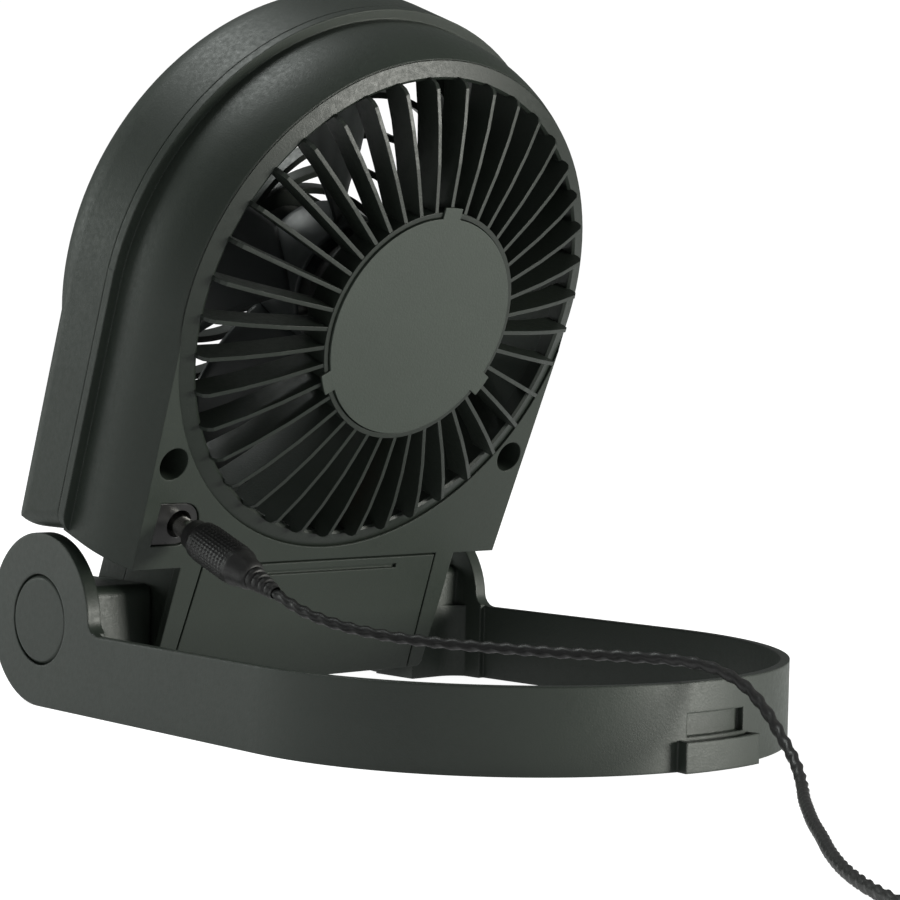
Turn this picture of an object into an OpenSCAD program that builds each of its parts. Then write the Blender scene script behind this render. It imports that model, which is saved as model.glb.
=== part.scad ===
// Folding desk fan: a round battery fan head that tilts on a U-shaped loop stand.
// Millimetres. +Z up, +Y towards the rear grille, origin on the table under the centre of the fan.

/* [Fan head] */
// Outline radius of the front and rear shells
shell_r = 75.2; // [74:0.1:78]
// Height of the fan axis above the tilt pivot
fan_v = 97.8; // [96:0.1:100]
// Height of the shells' flat bottom above the tilt pivot
shell_low = 25.4; // [24.5:0.1:27]
// Distance of the flat front of the lower corners ahead of the pivot
front_w = 21; // [20:0.1:22]
// Distance of the round front's foremost edge ahead of the pivot
drum_w = 28; // [27:0.1:29]
// Angle at which each side of the head and the stand narrows downwards
taper = 2.6; // [2:0.1:3]
// Distance of the flat rear face behind the pivot
rear_w = 24.6; // [24:0.1:26]
// Wall thickness of the moulded shells
wall = 2.2; // [1.8:0.1:2.6]
// Radius of the duct around the impeller
duct_r = 65; // [64:0.1:65.5]
// Backward tilt of the head at rest, in degrees
tilt = 20.5; // [10:0.5:30]

/* [Grilles] */
// Number of radial fins in the rear grille
fin_count = 39; // [31:2:41]
// Thickness of one fin
fin_t = 1.1; // [0.9:0.1:1.3]
// Rear face of the hub plate behind the pivot
hub_w = 36.6; // [35:0.1:38]
// Number of spiral vanes in the front grille
vane_count = 13; // [11:1:15]
// Thickness of one spiral vane
vane_t = 1.8; // [1.4:0.1:2]

/* [Battery tongue] */
// Half width of the tongue's rear face
tongue_x = 49.2; // [48:0.1:49.4]
// Half width of the tongue's sides between the pivot bosses
tongue_side = 45; // [44:0.1:45.2]
// Depth of the tongue below the pivot
tongue_low = 10.5; // [9:0.1:11]
// Distance of the tongue's front face ahead of the pivot
tongue_front = 11.5; // [11.3:0.1:13]
// Radius of a battery cell
cell_r = 7.1; // [6.8:0.05:7.1]

/* [Impeller] */
// Tip radius of the blades
blade_r = 62; // [58:0.5:62.5]
// Number of blades
blade_count = 5; // [3:1:7]

/* [Stand] */
// Outer radius of the loop
loop_r = 75; // [74.9:0.1:75.2]
// Thickness of the loop's wall
loop_t = 2.3; // [2:0.1:2.4]
// Height of the loop's bar
loop_h = 20.8; // [18:0.1:21]
// Radius of the round ears, which is also the pivot's height above the table
ear_r = 22.8; // [22:0.1:23.4]
// Outer radius of the finger lip at the end of the loop
lip_r = 78.2; // [77.5:0.1:80]

/* [Power lead] */
// Diameter of the lead
cord_d = 3; // [2.6:0.1:3.2]
// Mean radius of the stored coil
coil_r = 17; // [15:0.5:18]

/* [Hidden] */
$fn = 64;
STAND_NODES = ["stand_loop", "pivot_cap_left", "pivot_cap_right", "pivot_pin_left", "pivot_pin_right",
    "friction_washer_left", "friction_washer_right"];
CASE_NODES = ["front_shell", "rear_shell", "front_grille", "front_grille_cap", "rear_grille",
    "rear_hub_plate", "case_screws", "hub_screws"];
MOTOR_NODES = ["motor_bracket", "motor_can", "motor_end_bell", "motor_magnets", "motor_brushes",
    "motor_bush_front", "motor_bush_rear", "motor_screws"];
ROTOR_NODES = ["impeller", "motor_shaft", "armature", "commutator"];
POWER_NODES = ["battery_tray", "battery_1", "battery_2", "battery_3", "battery_4", "battery_springs",
    "battery_contacts", "battery_door", "circuit_board", "switch_body", "switch_knob", "jack_housing",
    "jack_pin", "jack_spring", "wire_red", "wire_black"];
LEAD_NODES = ["plug_barrel", "plug_body", "plug_strain_relief", "power_cord", "cord_coil", "cord_end",
    "cord_tie", "adapter_housing", "adapter_blades"];

charcoal = [0.17, 0.175, 0.17];
gap = 0.3;
far = 400;

// Stand
pivot_y = (ear_r - fan_v - lip_r) / 2;
loop_in = loop_r - loop_t;
ear_t = 4;
// Height of the pivot along a narrowing side, and where that side's outer face is there
ear_along = (fan_v - loop_r * sin(taper)) / cos(taper);
ear_out = loop_r * cos(taper) - ear_along * sin(taper);
ear_end = 24.7;
web_x = 60.6;
fillet_r = 4;
fillet_z = loop_h + fillet_r;
fillet_y = sqrt(pow(ear_r + fillet_r, 2) - pow(fillet_z - ear_r, 2));
boss_y = 15.5;
boss_z = 32.3;
boss_in = 46;
boss_step = 50;
boss_end_r = 21.6;
web_r = 8.5;
flare_x = [59.5, 68];
flare_r = [9.5, ear_r - 0.1];
pin_r = 4;
pin_fit = 0.05;
cap_r = 11.6;
cap_t = 2;
latch_a = 7.7;
lip_a = 9.7;
latch_z = [8, 13.5];
latch_depth = 1.7;
lip_z = 7.3;
lip_wall = 1.2;

// Rear shell: the side wall curves in towards the rear on a large arc
flange_t = 1.1;
seam_w = -1;
side_step = 0;
seam_gap = 0.1;
flange_w = 1.6;
wall_r = loop_in - gap;
crown_r = 34;
crown_w = 8;
floor_cut = [-9.3, 17.5];
side_in = tongue_side - wall;

// Rear face details, as [x, v] from the pivot
jack_at = [53.2, 37.9];
jack_hole_r = 3.75;
panel_r = 5.7;
panel_x = 60.6;
screw_at = [[60.2, 54.9], [-60.2, 54.9]];
screw_hole_r = 4.4;
boss_wall = 1.3;
post_r = 3.4;
slot_half = 28;
door_top = 25.1;
door_x = [41.7, 43.6];
door_low = -tongue_low;
door_bay = 40;
rail_x = [37.4, 39.7];
hook = 1.4;
door_t = 1.5;
door_gap = 0.6;
slot_v = 22.4;
slot_h = 1.3;

// Grilles
ring_in = 63.6;
lip_out = 68.4;
ring_step = 23.9;
band_w = 25.3;
hub_rim = 31.6;
hub_rim_t = 1.3;
hub_disc = 30;
lobe_r = 33;
lobe_w = 6;
vane_hub = 15;
vane_ring = 63.8;
vane_w = [-28.9, -24.7];

// Motor
can_r = 13.8;
can_w = [3, 30];
bell_w = 32.4;
shaft_r = 1.15;
bush_r = 3;
armature_r = 9.4;
hub_screw_r = 24;

// Switch in the front lower corner
switch_at = [-54.5, 38.5];
board_posts = [[-61, 43], [-44.5, 35]];
knob_slot = [13, 4.4];
knob_travel = 6;

// Battery cells
cell_len = 50;
cell_x = [-20, 30];
cell_w = [-0.7, 14.1];
cell_v = [0.5, 15.3];
tray_x = [-26, 36];
tray_w = [-9, 21.6];
tray_v = [-8, 23.9];
tray_t = 1.1;

// Plug, along the jack's axis, with part of its barrel still showing
plug_out = 5.5;
plug_face = rear_w + 0.1 + plug_out;
barrel_len = 9.9;
plug_grip = [plug_face + 4.3, plug_face + 20.3];
plug_end = plug_face + 26.3;
relief_end = plug_end + 9;

// The lead's route on and above the table, measured from the pivot's foot
cord_r = cord_d / 2;
cord_lie = cord_r + 0.1;
cord_start = relief_end + 0.2;
tail = [jack_at[0], jack_at[1] * sin(tilt) + cord_start * cos(tilt),
    ear_r + jack_at[1] * cos(tilt) - cord_start * sin(tilt)];
route = [[53.1, 80, 33.3], [52.2, 87, 31], [49.3, 97, 28.8], [44.7, 109, 27.3], [38.7, 122, 26.6],
    [32, 135, 26.3], [25.5, 148, 26.2], [18.5, 160, 26.2], [12, 170, 25.9], [7.5, 177.5, 24.5],
    [4.6, 184, 21.2], [4, 190, 16.4], [5.2, 196, 11], [8.6, 203, 6.2], [14.8, 210, 2.9]];
floor_route = [[23.9, 218], [34.2, 227.2], [45.4, 237.5], [57, 248.9], [68.7, 260.2], [80.2, 272.7], [90, 286],
    [97.5, 300], [102.6, 314], [105.4, 325]];
// Coil of the rest of the lead, tied, and the adapter on its end
tie_t = 0.7;
coil_at = [86.5, 336];
coil_cols = 3;
coil_rows = 4;
coil_half = coil_cols * cord_r + 0.1;
coil_z = tie_t + 0.1;
coil_h = coil_rows * cord_d + 0.2;
end_route = [[96.5, 353.3, 11.4], [91, 357, 11.2], [84.5, 359.6, 10], [77.5, 362.3, 7.6], [71, 366.3, 5.2],
    [67, 370.5, 3.9], [65.2, 374.5, 3.4]];
adapter_at = [65, 396];
adapter_size = [32, 44, 24];
gland_z = 3.4;
blade_at = [6.35, 12];
tube_sides = 8;

// Frames: the head turns about the pivot; its x is across, y is depth w and z is height v.
module head() { translate([0, pivot_y, ear_r]) rotate([-tilt, 0, 0]) children(); }
module fan() { head() translate([0, 0, fan_v]) rotate([-90, 0, 0]) children(); }
module stand() { translate([0, pivot_y, 0]) children(); }
// Extrudes a drawing of the rear view, as x and v, from depth w0 to w1.
module plate(w0, w1) { translate([0, w1, 0]) rotate([90, 0, 0]) linear_extrude(w1 - w0) children(); }
module both() { children(); mirror([1, 0, 0]) children(); }
module tube(r_out, r_in, h) {
    difference() {
        cylinder(r = r_out, h = h);
        translate([0, 0, -1]) cylinder(r = r_in, h = h + 2);
    }
}
// A shaft or hole along w at a point of the rear view
module along_w(at, w0) { translate([at[0], w0, at[1]]) rotate([-90, 0, 0]) children(); }

// Half width at height v of a side that leaves the round top of radius r and narrows downwards
function side_x(r, v) = (r - (fan_v - v) * sin(taper)) / cos(taper);

// Arch outline of the shells, as x and v
module arch(r, low, corner) {
    x = side_x(r - side_step - corner, low + corner);
    intersection() {
        translate([0, fan_v]) circle(r);
        translate([-far, low]) square([2 * far, far]);
    }
    both() polygon([[-1, low + 1], [x, low + 1], [x + corner * cos(taper), low + corner * (1 - sin(taper))],
        [side_x(r - side_step, fan_v), fan_v], [-1, fan_v]]);
    translate([-x, low]) square([2 * x, corner]);
    for (s = [-1, 1]) translate([s * x, low + corner]) circle(corner);
}

// Narrowing sides below the round part, from a half profile given as radius and depth
module arch_sides(low) {
    reach = fan_v - low + 6;
    both() translate([0, 0, fan_v]) rotate([0, taper, 0]) translate([-side_step, 0, -reach])
        linear_extrude(reach) children();
}

// Solid arch from the same half profile
module arch_solid(low) {
    intersection() {
        union() {
            along_w([0, fan_v], 0) rotate_extrude($fn = 128) children();
            arch_sides(low) children();
        }
        translate([-far, -far, low]) cube([2 * far, 2 * far, far]);
    }
}

// Half profile of the front shell, as radius and depth
module front_profile(depth, edge, inset) {
    r = shell_r - inset;
    translate([0, -depth + edge]) square([r, depth - edge + seam_w]);
    translate([0, -depth + inset]) square([shell_r - edge, edge]);
    intersection() {
        translate([shell_r - edge, -depth + edge]) circle(edge - inset);
        translate([shell_r - edge, -depth]) square(edge);
    }
}

// Everything above the front shell's bottom, which is level with the table at rest
module above_floor(inset) {
    translate([0, seam_w, shell_low + inset]) rotate([tilt, 0, 0])
        translate([-far, -far, 0]) cube([2 * far, 2 * far, far]);
}

// The lower corners' limits: rounded between bottom and sides, and between bottom and front
module corner_limit(inset) {
    corner = 6 - inset;
    x = side_x(shell_r, shell_low + 6) - 6;
    translate([0, seam_w, shell_low + inset]) rotate([tilt, 0, 0]) rotate([90, 0, 0])
        translate([0, 0, -60]) linear_extrude(160) {
            translate([-x, 0]) square([2 * x, corner + 1]);
            for (s = [-1, 1]) translate([s * x, corner]) circle(corner);
            translate([-far, corner]) square([2 * far, far]);
        }
}

module front_body(inset) {
    intersection() {
        along_w([0, fan_v], 0) rotate_extrude($fn = 128) front_profile(drum_w, 14, inset);
        above_floor(inset);
    }
    intersection() {
        arch_sides(10) front_profile(front_w, 7, inset);
        corner_limit(inset);
        side_of_head(-far, far) front_side(inset);
    }
}

// Side view of the lower corners, as depth and height, with a rounded front lower edge
module front_side(inset) {
    edge = 8;
    at = [-front_w + edge, shell_low + edge / cos(tilt) - (front_w - edge + seam_w) * tan(tilt)];
    translate([-front_w + inset, at[1]]) square([front_w - inset + 3, far]);
    translate(at) circle(edge - inset);
    translate(at) rotate(tilt) translate([0, inset - edge]) square([40, edge + 5]);
}

// Extrudes a side view, as depth and height, across x from x0 to x1.
module side_of_head(x0, x1) { translate([x0, 0, 0]) rotate([90, 0, 90]) linear_extrude(x1 - x0) children(); }

module rear_profile(inset) {
    r = wall_r - inset;
    translate([0, seam_w + seam_gap]) square([r, crown_w - seam_w - seam_gap]);
    intersection() {
        translate([wall_r - crown_r, crown_w]) circle(crown_r - inset, $fn = 128);
        translate([0, crown_w - 1]) square([r, rear_w - inset - crown_w + 1]);
    }
    translate([0, crown_w - 1]) square([wall_r - crown_r, rear_w - inset - crown_w + 1]);
}

module screw_posts(w0, w1) {
    for (at = screw_at) along_w(at, w0) tube(post_r, 1.2, w1 - w0);
}

// --- Shells ---
module front_shell() {
    color(charcoal) head() difference() {
        union() {
            difference() {
                front_body(0);
                front_body(wall);
                plate(seam_w - 0.1, seam_w + 9) translate([-far, -far]) square(2 * far);
            }
            plate(-drum_w + 1.4, seam_w) difference() {
                translate([0, fan_v]) circle(duct_r + 1.6);
                translate([0, fan_v]) circle(duct_r);
            }
            intersection() {
                screw_posts(-front_w + 1, seam_w);
                front_body(0.5);
            }
            tongue_front_half();
            for (at = board_posts) along_w(at, -front_w + wall - 0.5) cylinder(r = 1.8, h = 8.3);
        }
        along_w([0, fan_v], -drum_w - 1) cylinder(r = duct_r, h = drum_w + 2);
        translate([-side_in, floor_cut[0], shell_low - 5])
            cube([2 * side_in, seam_w - floor_cut[0] + 1, wall + 6]);
        translate([switch_at[0] - knob_slot[0] / 2, -front_w - 1, switch_at[1] - knob_slot[1] / 2])
            cube([knob_slot[0], wall + 2, knob_slot[1]]);
        both() rotate([0, 90, 0]) cylinder(r = pin_r + pin_fit, h = tongue_x + 1);
    }
}

module tongue_outline(inset) {
    x = tongue_side - inset;
    translate([-x, -tongue_low + inset + 3]) square([2 * x, tongue_low + shell_low + 1 - inset - 3]);
    translate([3 - x, -tongue_low + inset]) square([2 * x - 6, 4]);
    for (s = [-1, 1]) translate([s * (x - 3), -tongue_low + inset + 3]) circle(3);
}

module tongue_front_half() {
    difference() {
        plate(-tongue_front, seam_w) tongue_outline(0);
        plate(-tongue_front + wall, seam_w + 1) tongue_outline(wall);
    }
    // Half rings that carry the pivot pins
    both() pivot_ring(-7.2, seam_w);
}

module pivot_ring(w0, w1) {
    intersection() {
        translate([side_in - 3, 0, 0]) rotate([0, 90, 0]) cylinder(r = 7.2, h = 3.5);
        translate([0, w0, -9]) cube([tongue_side, w1 - w0, 18]);
    }
}

module rear_shell() {
    color(charcoal) head() difference() {
        union() {
            difference() {
                union() {
                    arch_solid(shell_low) rear_profile(0);
                    plate(seam_w + seam_gap, flange_w) arch(shell_r, shell_low, 6);
                }
                arch_solid(shell_low + wall) rear_profile(wall);
            }
            plate(seam_w + seam_gap, rear_w - 1) difference() {
                translate([0, fan_v]) circle(duct_r + 1.6);
                translate([0, fan_v]) circle(duct_r);
            }
            intersection() {
                along_w([0, fan_v], 19) tube(lip_out + 1.5, duct_r, rear_w - 20);
                along_w([0, fan_v], 0) rotate_extrude($fn = 128) rear_profile(0.6);
            }
            intersection() {
                for (at = screw_at) along_w(at, seam_w + seam_gap)
                    cylinder(r = screw_hole_r + boss_wall, h = far);
                arch_solid(shell_low) rear_profile(0.5);
            }
            tongue_rear_half();
        }
        along_w([0, fan_v], seam_w - 1) cylinder(r = duct_r, h = far);
        along_w([0, fan_v], ring_step - 3) cylinder(r = lip_out + 0.1, h = far);
        for (at = screw_at) {
            along_w(at, 6) cylinder(r = screw_hole_r, h = far);
            along_w(at, seam_w - 1) cylinder(r = 1.7, h = far);
        }
        translate([-side_in, seam_w - 1, shell_low - 1])
            cube([2 * side_in, floor_cut[1] - seam_w + 1, wall + 2]);
        plate(rear_w - wall - 1, far) panel_outline(0.35);
        plate(rear_w - door_t - 0.1, far) door_outline(door_gap);
        plate(rear_w - wall - 0.5, far) translate([-door_bay, door_low - 1])
            square([2 * door_bay, door_top - door_low - 1]);
        // Slots in the tongue's bottom that the door's hooked rails slide out through
        plate(rear_w - wall - 1, rear_w - wall + 0.1) translate([-rail_x[1] - hook - gap, door_low - 1])
            square([2 * (rail_x[1] + hook + gap), wall + 3.1]);
        both() rotate([0, 90, 0]) cylinder(r = pin_r + pin_fit, h = tongue_x + 1);
        plate(rear_w - wall - 6, rear_w - wall + 0.1) translate([-4, 31]) square([8, 4]);
    }
}

module tongue_rear_half() {
    difference() {
        union() {
            plate(seam_w + seam_gap, rear_w - 0.5) tongue_outline(0);
            plate(rear_w - wall - 0.2, rear_w) offset_tongue();
        }
        plate(seam_w - 1, rear_w - wall) tongue_outline(wall);
    }
    both() pivot_ring(seam_w + seam_gap, 7.2);
}

// The tongue's rear face stands out past its sides and covers the pivot bosses' inner edges.
module offset_tongue() {
    translate([-tongue_x, -tongue_low + 2]) square([2 * tongue_x, tongue_low + shell_low]);
    translate([2 - tongue_x, -tongue_low]) square([2 * tongue_x - 4, 3]);
    for (s = [-1, 1]) translate([s * (tongue_x - 2), -tongue_low + 2]) circle(2);
}

module panel_outline(grow) {
    translate(jack_at) circle(panel_r + grow);
    translate([jack_at[0], jack_at[1] - panel_r - grow])
        square([panel_x - jack_at[0] + grow, 2 * (panel_r + grow)]);
}

module door_outline(grow) {
    polygon([[-door_x[1] - grow, door_low - grow], [door_x[1] + grow, door_low - grow],
        [door_x[0] + grow, door_top + grow], [-door_x[0] - grow, door_top + grow]]);
}

// Battery door: slides down off the tongue, pushed by a thumb in the long slot.
module battery_door() {
    color(charcoal) head() {
        difference() {
            plate(rear_w - door_t, rear_w) door_outline(0);
            plate(rear_w - 0.9, rear_w + 1) translate([-slot_half, slot_v - slot_h / 2])
                square([2 * slot_half, slot_h]);
        }
        // Hooked rails that run behind the edges of the battery bay
        both() translate([0, 0, door_low + 1]) linear_extrude(door_top - door_low - 6) {
            translate([rail_x[0], rear_w - wall - 0.7]) square([rail_x[1] - rail_x[0], wall - door_t + 0.7]);
            translate([rail_x[0], rear_w - wall - 0.7]) square([rail_x[1] - rail_x[0] + hook, 0.5]);
        }
    }
}

// --- Grilles ---
module spiral_vane() {
    reach = (vane_ring + vane_hub) / 2;
    shift = (vane_ring - vane_hub) / 2;
    translate([shift, 0, 0]) rotate_extrude(angle = 180, $fn = 96)
        translate([reach - vane_t / 2, 0]) square([vane_t, vane_w[1] - vane_w[0]]);
}

module front_grille() {
    color(charcoal) fan() union() {
        translate([0, 0, vane_w[0]]) {
            for (i = [0 : vane_count - 1]) rotate(i * 360 / vane_count) spiral_vane();
            translate([0, 0, -0.3]) tube(vane_hub + 1.5, vane_hub - 3, vane_w[1] - vane_w[0] + 0.6);
        }
        rotate_extrude($fn = 128) polygon([[vane_ring - 1.6, vane_w[0] - 0.4],
            [duct_r - 0.9, vane_w[0] - 0.8], [duct_r - 0.15, vane_w[0] - 0.1],
            [duct_r - 0.15, vane_w[1] + 6], [vane_ring - 1.6, vane_w[1] + 6]]);
    }
}

module front_grille_cap() {
    color([0.28, 0.285, 0.28]) fan() {
        translate([0, 0, vane_w[0] - 0.8]) cylinder(r = vane_hub - 3.2, h = vane_w[1] - vane_w[0] + 0.8);
        translate([0, 0, vane_w[0] - 1.95]) cylinder(r1 = vane_hub - 1.4, r2 = vane_hub + 0.2, h = 1.5);
    }
}

module fin_profile() {
    polygon([[ring_in + 0.9, 20], [ring_in + 0.9, 26.6], [64, 28.2], [62.8, 29.4], [54, 32], [44, 34.1],
        [hub_rim - 0.6, 35.9], [hub_rim - 0.6, 27.6], [44, 25.7], [54, 23.6], [62, 21]]);
}

module rear_grille() {
    color(charcoal) fan() difference() {
        union() {
            rotate_extrude($fn = 128) polygon([[ring_in, 20.5], [duct_r - 0.2, 20.5], [duct_r - 0.2, 22.2],
                [lip_out, 22.2], [lip_out, ring_step], [ring_in + 0.8, band_w], [ring_in, band_w - 0.5]]);
            rotate_extrude($fn = 96) {
                translate([hub_rim - hub_rim_t, 27]) square([hub_rim_t, 9]);
                translate([hub_rim - 3.5, 32.6]) square([2.5, 1]);
            }
            for (i = [0 : fin_count - 1]) rotate(i * 360 / fin_count - 90) rotate([90, 0, 0])
                translate([0, 0, -fin_t / 2]) linear_extrude(fin_t) fin_profile();
        }
        // Notch for the motor wires
        translate([-2, hub_rim - 3, 26]) cube([4, 4, 4]);
    }
}

module rear_hub_plate() {
    color(charcoal) fan() {
        translate([0, 0, 34.6]) cylinder(r = hub_disc, h = hub_w - 34.6, $fn = 96);
        for (a = [90, 210, 330]) rotate(a) translate([hub_screw_r, 0, 32.5]) tube(3, 1.2, 2.2);
        intersection() {
            for (a = [30, 150, 270]) rotate(a) translate([0, -lobe_w / 2, 36.05])
                cube([lobe_r, lobe_w, hub_w - 36.05]);
            translate([0, 0, 30]) cylinder(r = lobe_r, h = 10);
        }
    }
}

module hub_screws() {
    color("silver") fan() for (a = [90, 210, 330]) rotate(a) translate([hub_screw_r, 0, 29.6]) {
        cylinder(r = 2.4, h = 0.9);
        cylinder(r = 1.2, h = 4.8);
    }
}

module case_screws() {
    color("silver") head() for (at = screw_at) along_w(at, -7) difference() {
        union() {
            cylinder(r = 1.15, h = 13.1);
            translate([0, 0, 13.1]) cylinder(r = 3, h = 1.8);
        }
        translate([-2, -0.4, 14.2]) cube([4, 0.8, 1]);
        translate([-0.4, -2, 14.2]) cube([0.8, 4, 1]);
    }
}

// --- Motor ---
module motor_bracket() {
    color([0.22, 0.22, 0.22]) fan() difference() {
        union() {
            translate([0, 0, 8]) cylinder(r = can_r + 1.7, h = 24.4);
            translate([0, 0, 30.6]) cylinder(r = hub_rim - hub_rim_t - 0.1, h = 1.8);
        }
        translate([0, 0, 9.4]) cylinder(r = can_r + 0.02, h = 30);
        translate([0, 0, 7]) cylinder(r = 6, h = 5);
        for (a = [90, 210, 330]) rotate(a) translate([hub_screw_r, 0, 28]) cylinder(r = 1.3, h = 6);
        for (s = [-1, 1]) translate([s * 8, 0, 7]) cylinder(r = 1.3, h = 4);
        translate([-5.5, 8, 24]) cube([11, 12, 10]);
    }
}

module motor_can() {
    color("silver") fan() difference() {
        translate([0, 0, 9.4]) cylinder(r = can_r, h = 20.6);
        translate([0, 0, 10.6]) cylinder(r = can_r - 1, h = 30);
        translate([0, 0, 9]) cylinder(r = bush_r, h = 3);
        for (s = [-1, 1]) translate([s * 8, 0, 9]) cylinder(r = 1.05, h = 3);
    }
}

module motor_end_bell() {
    color([0.85, 0.84, 0.8]) fan() difference() {
        union() {
            translate([0, 0, 30]) cylinder(r = can_r - 0.2, h = 1.6);
            translate([0, 0, 28.2]) cylinder(r = can_r - 1, h = 1.8);
            for (s = [-1, 1]) translate([s * 4 - 1, 10.6, 31.4]) cube([2, 2, 1]);
        }
        translate([0, 0, 27]) cylinder(r = bush_r, h = 8);
    }
}

module motor_magnets() {
    color([0.3, 0.3, 0.32]) fan() for (a = [0, 180]) rotate(a - 60) translate([0, 0, 11.4])
        rotate_extrude(angle = 120) translate([can_r - 3.6, 0]) square([2.6, 14]);
}

module motor_brushes() {
    color([0.7, 0.45, 0.25]) fan() for (s = [-1, 1]) scale([s, 1, 1])
        translate([3.95, -1, 26.1]) cube([2.4, 2, 2.1]);
}

module motor_bush_front() {
    color([0.72, 0.58, 0.3]) fan() translate([0, 0, 8.6]) tube(bush_r, shaft_r + pin_fit, 3.4);
}

module motor_bush_rear() {
    color([0.72, 0.58, 0.3]) fan() translate([0, 0, 28.2]) tube(bush_r, shaft_r + pin_fit, 3.4);
}

module motor_screws() {
    color("silver") fan() for (s = [-1, 1]) translate([s * 8, 0, 6.8]) {
        cylinder(r = 2, h = 1.2);
        translate([0, 0, 1.2]) cylinder(r = 1.05, h = 3.4);
    }
}

// --- Rotor ---
module blade() {
    root = 17;
    rotate([0, 0, -30]) linear_extrude(height = 17, twist = -46, slices = 12, $fn = 32) intersection() {
        difference() {
            translate([0, -40]) circle(r = 57);
            translate([0.4, -41.3]) circle(r = 57);
        }
        difference() {
            circle(r = blade_r);
            circle(r = root);
        }
        translate([0, -30]) square([70, 60]);
    }
}

module impeller() {
    color([0.55, 0.57, 0.57]) fan() {
        difference() {
            translate([0, 0, -13]) cylinder(r = 18.5, h = 19, $fn = 96);
            translate([0, 0, -11]) cylinder(r = 16.9, h = 30, $fn = 96);
        }
        translate([0, 0, -12]) tube(3.4, shaft_r, 14);
        for (i = [0 : blade_count - 1]) rotate(i * 360 / blade_count) translate([0, 0, -12]) blade();
    }
}

module motor_shaft() {
    color("silver") fan() translate([0, 0, -10.5]) cylinder(r = shaft_r, h = 42.6);
}

module armature() {
    color([0.75, 0.42, 0.2]) fan() translate([0, 0, 12.6]) difference() {
        tube(armature_r, shaft_r, 11);
        for (i = [0 : 2]) rotate(i * 120) translate([armature_r - 4, -1, -1]) cube([6, 2, 13]);
    }
}

module commutator() {
    color([0.8, 0.5, 0.3]) fan() translate([0, 0, 24.2]) tube(3.6, shaft_r, 3.6);
}

// --- Battery tray, cells, board, switch and jack ---
module battery_tray() {
    color([0.2, 0.2, 0.2]) head() difference() {
        translate([tray_x[0], tray_w[0], tray_v[0]])
            cube([tray_x[1] - tray_x[0], tray_w[1] - tray_w[0], tray_v[1] - tray_v[0]]);
        translate([tray_x[0] + tray_t, tray_w[0] + tray_t, tray_v[0] + tray_t])
            cube([tray_x[1] - tray_x[0] - 2 * tray_t, far, tray_v[1] - tray_v[0] - 2 * tray_t]);
    }
}

module cell(i) {
    w = cell_w[i % 2];
    v = cell_v[floor(i / 2)];
    turn = i % 2 == 0 ? 0 : 180;
    head() translate([(cell_x[0] + cell_x[1]) / 2, w, v]) rotate([0, 90, turn]) {
        color([0.32, 0.4, 0.36]) translate([0, 0, -cell_len / 2]) cylinder(r = cell_r, h = cell_len - 1.4);
        color("silver") translate([0, 0, cell_len / 2 - 1.4]) cylinder(r = 2.7, h = 1.4);
    }
}

module battery_springs() {
    color("silver") head() for (i = [0 : 3]) {
        end = i % 2 == 0 ? cell_x[0] - 3.6 : cell_x[1] + 0.1;
        translate([end, cell_w[i % 2], cell_v[floor(i / 2)]]) rotate([0, 90, 0])
            for (k = [0 : 2]) translate([0, 0, 0.6 + 1.1 * k]) rotate_extrude()
                translate([4 - 0.5 * k, 0]) circle(0.55, $fn = 16);
    }
}

module battery_contacts() {
    color([0.8, 0.8, 0.76]) head() for (x = [tray_x[0] + tray_t + 0.1, tray_x[1] - tray_t - 0.5], v = cell_v)
        translate([x, cell_w[0] - 5, v - 5]) cube([0.4, cell_w[1] - cell_w[0] + 10, 10]);
}

module circuit_board() {
    color([0.1, 0.3, 0.15]) head() translate([switch_at[0] - 8, 10 - front_w, switch_at[1] - 5.5])
        cube([20, 1.2, 11]);
}

module switch_body() {
    color([0.1, 0.1, 0.1]) head() difference() {
        translate([switch_at[0] - 8, 4 - front_w, switch_at[1] - 2.6]) cube([14, 6, 5.2]);
        translate([switch_at[0] - 5, 3.6 - front_w, switch_at[1] - 1.4]) cube([10, 2, 2.8]);
    }
}

module switch_knob() {
    color([0.3, 0.3, 0.3]) head() {
        translate([switch_at[0] - 5.9, -front_w - 1.6, switch_at[1] - 1.9]) cube([5.8, 3.4, 3.8]);
        translate([switch_at[0] - 4, -front_w + 1.7, switch_at[1] - 1]) cube([2, 3.4, 2]);
        for (k = [0 : 3]) translate([switch_at[0] - 5.2 + 1.3 * k, -front_w - 2.1, switch_at[1] - 1.6])
            cube([0.6, 0.7, 3.2]);
    }
}

module jack_housing() {
    color([0.13, 0.13, 0.13]) head() difference() {
        union() {
            plate(12, rear_w - 0.4) panel_outline(0);
            plate(19, rear_w - wall - 0.05) panel_outline(1.2);
        }
        along_w(jack_at, 13.5) cylinder(r = jack_hole_r, h = 20);
        plate(11, 20) translate([jack_at[0] - 1.2, jack_at[1] + jack_hole_r - 0.5]) square([2.4, 1.3]);
        along_w(jack_at, 11) cylinder(r = 1.1, h = 4);
    }
}

module jack_pin() {
    color("silver") head() along_w(jack_at, 11) cylinder(r = 1.05, h = 11);
}

module jack_spring() {
    color([0.8, 0.75, 0.5]) head()
        translate([jack_at[0] - 1, 10.5, jack_at[1] + jack_hole_r + 0.1]) cube([2, 9, 0.5]);
}

wire_path = [[3, 16, 26], [3, 17, 32], [1, 19, 36.5], [1, 21.9, 44], [1, 24, 54], [1, 26, 66.8],
    [1, 28, 70.5], [3, 29.4, 77], [4, 31.4, 84]];
module wire(side) { head() sweep(smooth([for (q = wire_path) [0.95 * side * q[0], q[1], q[2]]], 2), 0.6); }
module wire_red() { color([0.7, 0.1, 0.1]) wire(1); }
module wire_black() { color([0.08, 0.08, 0.08]) wire(-1); }

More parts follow.
